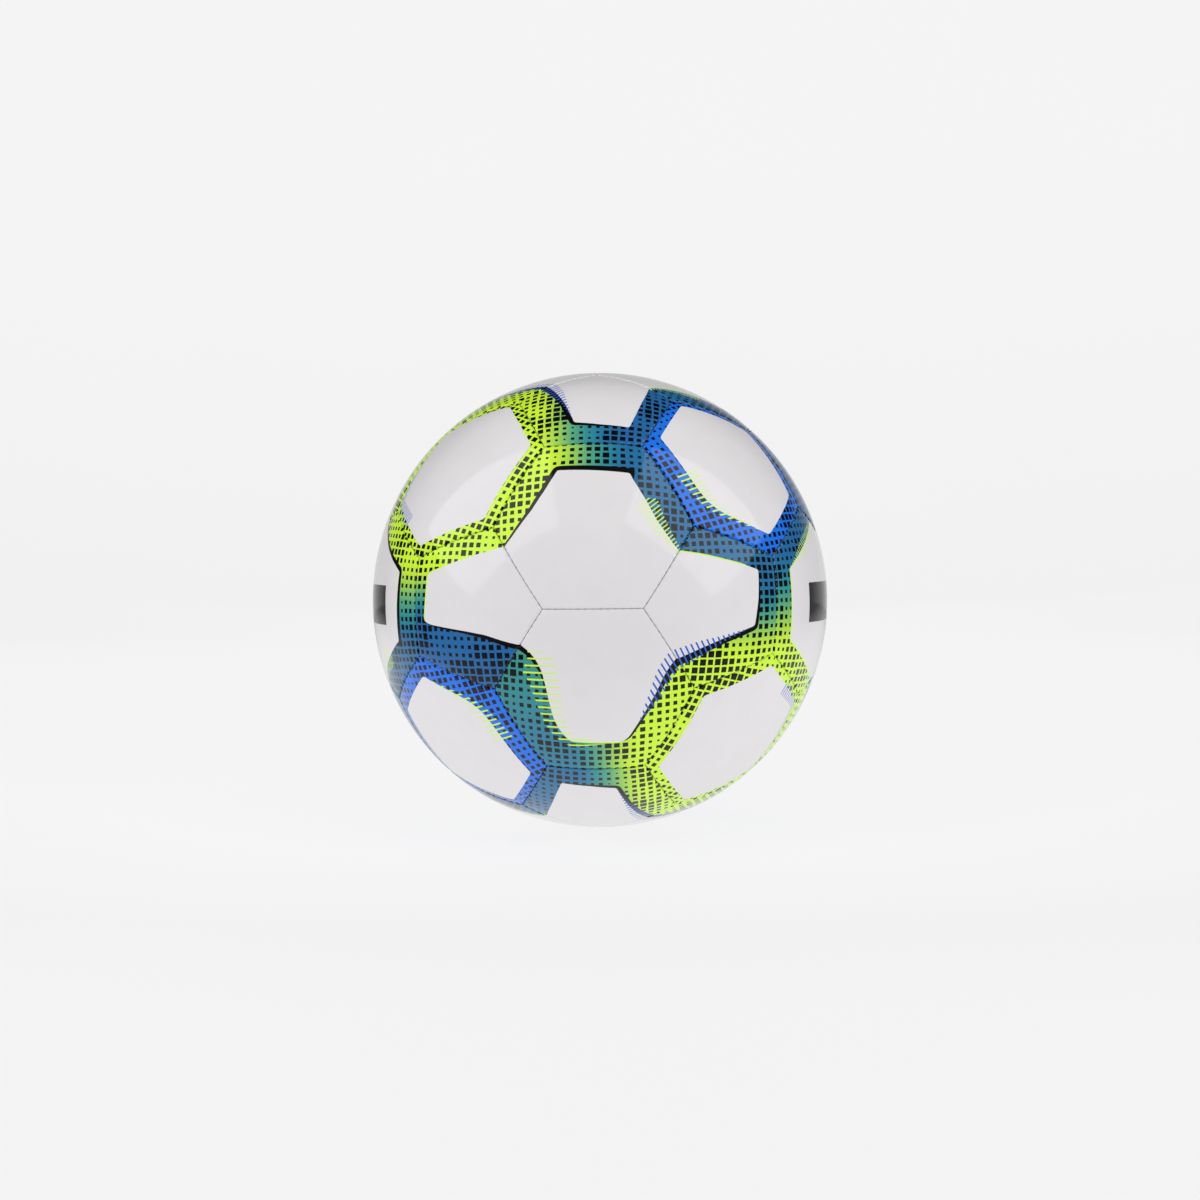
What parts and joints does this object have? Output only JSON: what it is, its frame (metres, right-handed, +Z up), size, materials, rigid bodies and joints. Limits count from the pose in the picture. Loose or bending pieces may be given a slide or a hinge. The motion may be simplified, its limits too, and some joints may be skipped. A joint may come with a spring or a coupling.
{
  "type": "soccer ball",
  "caption": "Stitched ball of hexagonal and pentagonal panels with a printed cover, foam and cloth backing, a rubber bladder and an inflation valve.",
  "frame": {"origin": "centre of the ball", "axes": "+Z up, the front of the ball faces -Y; each axis passes through the middle of a seam between two hexagons"},
  "size_m": [0.22, 0.22, 0.22],
  "materials": {
    "cover_white": "gloss",
    "cover_lime": "gloss",
    "cover_blue": "gloss",
    "thread": "satin",
    "foam": "matte",
    "lining": "matte",
    "bladder": "matte",
    "valve": "satin",
    "valve_core": "satin"
  },
  "bodies": {
    "ball": {"front_upper_hexagon": "cover_white", "front_lower_hexagon": "cover_white", "front_left_pentagon": "cover_white", "front_right_pentagon": "cover_white", "back_upper_hexagon": "cover_white", "back_lower_hexagon": "cover_white", "back_left_pentagon": "cover_white", "back_right_pentagon": "cover_white", "top_left_hexagon": "cover_white", "top_right_hexagon": "cover_white", "top_front_pentagon": "cover_white", "top_back_pentagon": "cover_white", "bottom_left_hexagon": "cover_white", "bottom_right_hexagon": "cover_white", "bottom_front_pentagon": "cover_white", "bottom_back_pentagon": "cover_white", "left_front_hexagon": "cover_white", "left_back_hexagon": "cover_white", "left_upper_pentagon": "cover_white", "left_lower_pentagon": "cover_white", "right_front_hexagon": "cover_white", "right_back_hexagon": "cover_white", "right_upper_pentagon": "cover_white", "right_lower_pentagon": "cover_white", "corner_hexagon_front_upper_left": "cover_lime", "corner_hexagon_front_upper_right": "cover_blue", "corner_hexagon_front_lower_left": "cover_blue", "corner_hexagon_front_lower_right": "cover_lime", "corner_hexagon_back_upper_left": "cover_blue", "corner_hexagon_back_upper_right": "cover_lime", "corner_hexagon_back_lower_left": "cover_lime", "corner_hexagon_back_lower_right": "cover_blue", "front_stitching": "thread", "back_stitching": "thread", "top_stitching": "thread", "bottom_stitching": "thread", "left_stitching": "thread", "right_stitching": "thread", "corner_stitching_front_upper_left": "thread", "corner_stitching_front_upper_right": "thread", "corner_stitching_front_lower_left": "thread", "corner_stitching_front_lower_right": "thread", "corner_stitching_back_upper_left": "thread", "corner_stitching_back_upper_right": "thread", "corner_stitching_back_lower_left": "thread", "corner_stitching_back_lower_right": "thread", "hexagon_foam_pads": "foam", "pentagon_foam_pads": "foam", "hexagon_linings": "lining", "pentagon_linings": "lining", "bladder": "bladder", "bladder_patch": "bladder", "valve_stem": "valve"},
    "valve_core": {"valve_core": "valve_core"}
  },
  "joints": [
    {"name": "valve_core_pull", "type": "slide", "parent": "ball", "child": "valve_core", "axis": [0, 0.9342, 0.3568], "range_m": [0, 0.025]}
  ]
}
